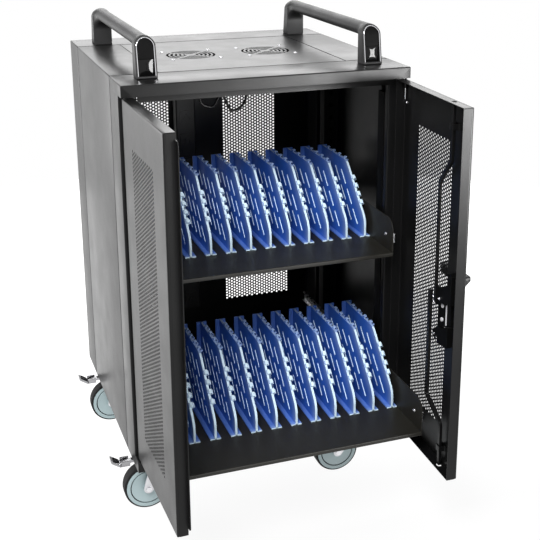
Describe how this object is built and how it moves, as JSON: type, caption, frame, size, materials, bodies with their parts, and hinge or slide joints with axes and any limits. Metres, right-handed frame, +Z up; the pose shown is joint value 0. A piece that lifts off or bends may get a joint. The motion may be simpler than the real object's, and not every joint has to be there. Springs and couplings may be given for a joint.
{
  "type": "laptop charging cart",
  "caption": "Black steel cabinet on brake castors with two perforated doors, pull-out trays of upright blue laptop dividers, top fans and a push handle on each side.",
  "frame": {"origin": "on the floor, under the middle of the box round the cart as it stands with its doors open and its trays pulled out", "axes": "+X to the right of someone who faces the doors, +Y to the back, +Z up"},
  "size_m": [0.6558, 0.898, 1.0354],
  "materials": {
    "black_powder_coat": "satin black powder coat with a fine grain",
    "handle_black": "satin grey-black tube with glossy black posts",
    "black_plastic": "matt black moulded plastic",
    "black_cable": "black cable sheath",
    "slide_zinc": "bright zinc plate on the slides, black posts",
    "lever_metal": "satin zinc casting",
    "divider_blue": "satin blue moulded plastic",
    "castor_zinc": "bright zinc plate",
    "wheel_grey": "pale blue-grey wheel with a dark tread"
  },
  "bodies": {
    "cabinet": {"base_pan": "black_powder_coat", "front_frame": "black_powder_coat", "rear_frame": "black_powder_coat", "rear_panel": "black_powder_coat", "fan_panel": "black_powder_coat", "power_strip": "black_plastic", "fan_lead": "black_cable", "left_side_panel": "black_powder_coat", "right_side_panel": "black_powder_coat", "left_slide_carrier": "slide_zinc", "right_slide_carrier": "slide_zinc", "left_push_handle": "handle_black", "right_push_handle": "handle_black", "left_fan_housing": "black_plastic", "right_fan_housing": "black_plastic"},
    "left_door": {"left_door": "black_powder_coat"},
    "right_door": {"right_door": "black_powder_coat", "lock_case": "black_powder_coat"},
    "lock_lever": {"lock_lever": "lever_metal"},
    "upper_lock_rod": {"upper_lock_rod": "black_powder_coat"},
    "lower_lock_rod": {"lower_lock_rod": "black_powder_coat"},
    "upper_tray": {"upper_tray": "black_powder_coat", "upper_divider_01": "divider_blue", "upper_divider_02": "divider_blue", "upper_divider_03": "divider_blue", "upper_divider_04": "divider_blue", "upper_divider_05": "divider_blue", "upper_divider_06": "divider_blue", "upper_divider_07": "divider_blue", "upper_divider_08": "divider_blue", "upper_divider_09": "divider_blue", "upper_divider_10": "divider_blue", "upper_divider_11": "divider_blue"},
    "lower_tray": {"lower_tray": "black_powder_coat", "lower_divider_01": "divider_blue", "lower_divider_02": "divider_blue", "lower_divider_03": "divider_blue", "lower_divider_04": "divider_blue", "lower_divider_05": "divider_blue", "lower_divider_06": "divider_blue", "lower_divider_07": "divider_blue", "lower_divider_08": "divider_blue", "lower_divider_09": "divider_blue", "lower_divider_10": "divider_blue", "lower_divider_11": "divider_blue"},
    "left_fan_rotor": {"left_fan_rotor": "black_plastic"},
    "right_fan_rotor": {"right_fan_rotor": "black_plastic"},
    "front_left_fork": {"front_left_fork": "castor_zinc"},
    "front_left_wheel": {"front_left_wheel": "wheel_grey"},
    "front_left_brake_pedal": {"front_left_brake_pedal": "castor_zinc"},
    "front_right_fork": {"front_right_fork": "castor_zinc"},
    "front_right_wheel": {"front_right_wheel": "wheel_grey"},
    "front_right_brake_pedal": {"front_right_brake_pedal": "castor_zinc"},
    "rear_left_fork": {"rear_left_fork": "castor_zinc"},
    "rear_left_wheel": {"rear_left_wheel": "wheel_grey"},
    "rear_left_brake_pedal": {"rear_left_brake_pedal": "castor_zinc"},
    "rear_right_fork": {"rear_right_fork": "castor_zinc"},
    "rear_right_wheel": {"rear_right_wheel": "wheel_grey"},
    "rear_right_brake_pedal": {"rear_right_brake_pedal": "castor_zinc"}
  },
  "joints": [
    {"name": "left_door_hinge", "type": "hinge", "parent": "cabinet", "child": "left_door", "pos_m": [-0.27589, -0.14602, 0.53936], "axis": [0, 0, -1], "range_deg": [0, 92]},
    {"name": "right_door_hinge", "type": "hinge", "parent": "cabinet", "child": "right_door", "pos_m": [0.30611, -0.14602, 0.53936], "axis": [0, 0, 1], "range_deg": [0, 92]},
    {"name": "lock_turn", "type": "hinge", "parent": "right_door", "child": "lock_lever", "pos_m": [0.30451, -0.39807, 0.57636], "axis": [-0.9997, 0.0262, 0], "range_deg": [0, 90]},
    {"name": "upper_rod_slide", "type": "slide", "parent": "right_door", "child": "upper_lock_rod", "axis": [0, 0, 1], "range_m": [0, 0.015]},
    {"name": "lower_rod_slide", "type": "slide", "parent": "right_door", "child": "lower_lock_rod", "axis": [0, 0, -1], "range_m": [0, 0.015]},
    {"name": "upper_tray_slide", "type": "slide", "parent": "cabinet", "child": "upper_tray", "axis": [0, -1, 0], "range_m": [-0.065, 0.265]},
    {"name": "lower_tray_slide", "type": "slide", "parent": "cabinet", "child": "lower_tray", "axis": [0, -1, 0], "range_m": [-0.225, 0.105]},
    {"name": "left_fan_spin", "type": "hinge", "parent": "cabinet", "child": "left_fan_rotor", "pos_m": [-0.07039, 0.14898, 0.92936], "axis": [0, 0, 1], "continuous": true},
    {"name": "right_fan_spin", "type": "hinge", "parent": "cabinet", "child": "right_fan_rotor", "pos_m": [0.10061, 0.14898, 0.92936], "axis": [0, 0, 1], "continuous": true},
    {"name": "front_left_swivel", "type": "hinge", "parent": "cabinet", "child": "front_left_fork", "pos_m": [-0.20689, -0.05902, 0.11936], "axis": [0, 0, 1], "continuous": true},
    {"name": "front_left_roll", "type": "hinge", "parent": "front_left_fork", "child": "front_left_wheel", "pos_m": [-0.25089, -0.05902, 0.05136], "axis": [0, 1, 0], "continuous": true},
    {"name": "front_left_brake", "type": "hinge", "parent": "front_left_fork", "child": "front_left_brake_pedal", "pos_m": [-0.25289, -0.05902, 0.11536], "axis": [0, -1, 0], "range_deg": [0, 12]},
    {"name": "front_right_swivel", "type": "hinge", "parent": "cabinet", "child": "front_right_fork", "pos_m": [0.23711, -0.05902, 0.11936], "axis": [0, 0, 1], "continuous": true},
    {"name": "front_right_roll", "type": "hinge", "parent": "front_right_fork", "child": "front_right_wheel", "pos_m": [0.19311, -0.05902, 0.05136], "axis": [0, 1, 0], "continuous": true},
    {"name": "front_right_brake", "type": "hinge", "parent": "front_right_fork", "child": "front_right_brake_pedal", "pos_m": [0.19111, -0.05902, 0.11536], "axis": [0, -1, 0], "range_deg": [0, 12]},
    {"name": "rear_left_swivel", "type": "hinge", "parent": "cabinet", "child": "rear_left_fork", "pos_m": [-0.20689, 0.35698, 0.11936], "axis": [0, 0, 1], "continuous": true},
    {"name": "rear_left_roll", "type": "hinge", "parent": "rear_left_fork", "child": "rear_left_wheel", "pos_m": [-0.25089, 0.35698, 0.05136], "axis": [0, 1, 0], "continuous": true},
    {"name": "rear_left_brake", "type": "hinge", "parent": "rear_left_fork", "child": "rear_left_brake_pedal", "pos_m": [-0.25289, 0.35698, 0.11536], "axis": [0, -1, 0], "range_deg": [0, 12]},
    {"name": "rear_right_swivel", "type": "hinge", "parent": "cabinet", "child": "rear_right_fork", "pos_m": [0.23711, 0.35698, 0.11936], "axis": [0, 0, 1], "continuous": true},
    {"name": "rear_right_roll", "type": "hinge", "parent": "rear_right_fork", "child": "rear_right_wheel", "pos_m": [0.19311, 0.35698, 0.05136], "axis": [0, 1, 0], "continuous": true},
    {"name": "rear_right_brake", "type": "hinge", "parent": "rear_right_fork", "child": "rear_right_brake_pedal", "pos_m": [0.19111, 0.35698, 0.11536], "axis": [0, -1, 0], "range_deg": [0, 12]}
  ],
  "couplings": [
    {"joint": "upper_rod_slide", "follows": "lock_turn", "m_per_rad": 0.0095},
    {"joint": "lower_rod_slide", "follows": "lock_turn", "m_per_rad": 0.0095}
  ]
}
